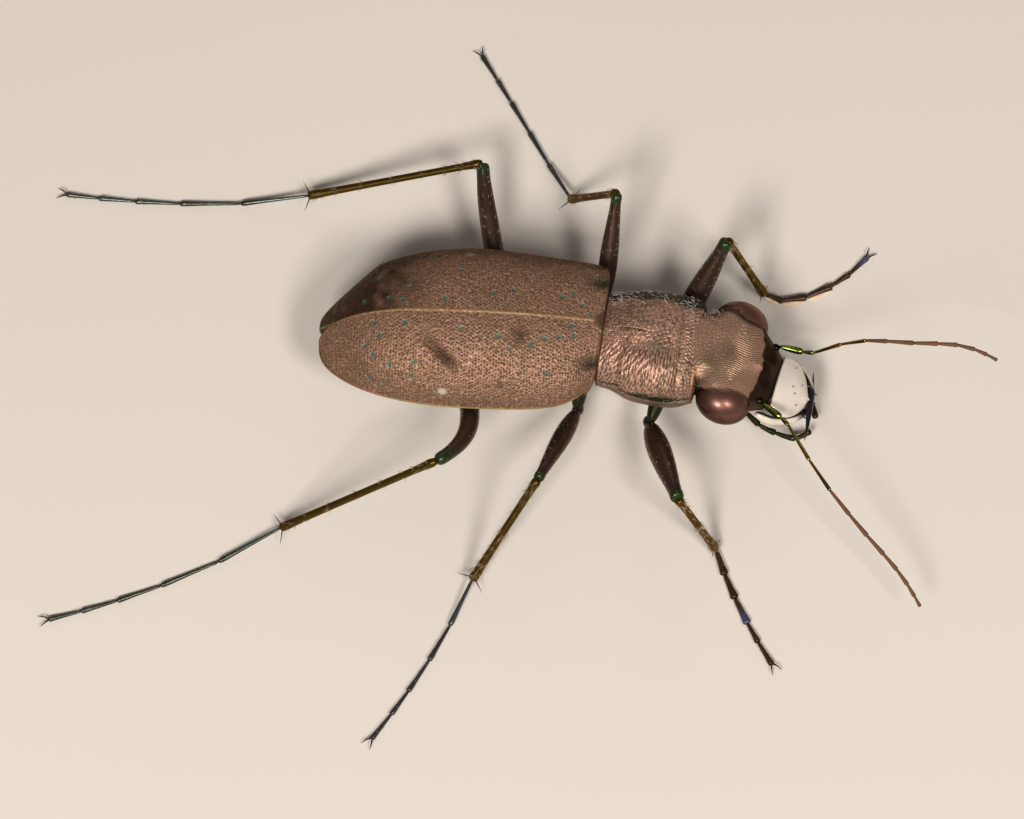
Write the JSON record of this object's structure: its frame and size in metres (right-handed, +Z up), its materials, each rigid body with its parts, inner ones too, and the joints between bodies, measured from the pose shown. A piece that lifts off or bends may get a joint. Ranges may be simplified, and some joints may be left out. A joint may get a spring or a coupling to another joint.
{
  "type": "tiger beetle",
  "caption": "Ground-living tiger beetle as a still life-size model, standing on long thin legs, with big eyes, crossed jaws, threadlike feelers and domed pitted wing covers.",
  "frame": {"origin": "on the floor, under the middle of the beetle's bounding box", "axes": "+X towards the head along the longest extent, +Y to the beetle's left, +Z up"},
  "size_m": [0.03, 0.0243, 0.0057],
  "materials": {
    "wing_cover": "dull coppery brown, finely pitted, satin",
    "abdomen": "dark green-black, satin",
    "thorax": "dark green-black, satin",
    "prothorax": "coppery brown, finely wrinkled, satin",
    "head": "coppery brown with green, finely lined, satin",
    "eye": "glossy dark coppery brown",
    "labrum": "glossy ivory",
    "mandible": "glossy blue-black with ivory outer bases",
    "palp": "glossy dark green",
    "feeler_base": "metallic green and copper",
    "feeler_whip": "matte brown",
    "coxa": "dark bronze with white hairs",
    "femur": "black-brown, satin, with short white hairs",
    "tibia": "metallic olive-bronze",
    "tarsus": "metallic blue-green"
  },
  "bodies": {
    "root": {"wing_cover_left": "wing_cover", "wing_cover_right": "wing_cover", "abdomen": "abdomen", "thorax": "thorax", "prothorax": "prothorax", "head": "head", "eye_left": "eye", "eye_right": "eye", "labrum": "labrum", "mandible_left": "mandible", "mandible_right": "mandible", "outer_palp_left": "palp", "outer_palp_right": "palp", "lower_lip": "palp", "feeler_left_base": "feeler_base", "feeler_right_base": "feeler_base", "feeler_left_whip": "feeler_whip", "feeler_right_whip": "feeler_whip", "front_left_coxa": "coxa", "front_right_coxa": "coxa", "mid_left_coxa": "coxa", "mid_right_coxa": "coxa", "front_left_femur": "femur", "front_right_femur": "femur", "mid_left_femur": "femur", "mid_right_femur": "femur", "hind_left_femur": "femur", "hind_right_femur": "femur", "front_left_tibia": "tibia", "front_right_tibia": "tibia", "mid_left_tibia": "tibia", "mid_right_tibia": "tibia", "hind_left_tibia": "tibia", "hind_right_tibia": "tibia", "front_left_tarsus": "tarsus", "front_right_tarsus": "tarsus", "mid_left_tarsus": "tarsus", "mid_right_tarsus": "tarsus", "hind_left_tarsus": "tarsus", "hind_right_tarsus": "tarsus"}
  },
  "joints": []
}
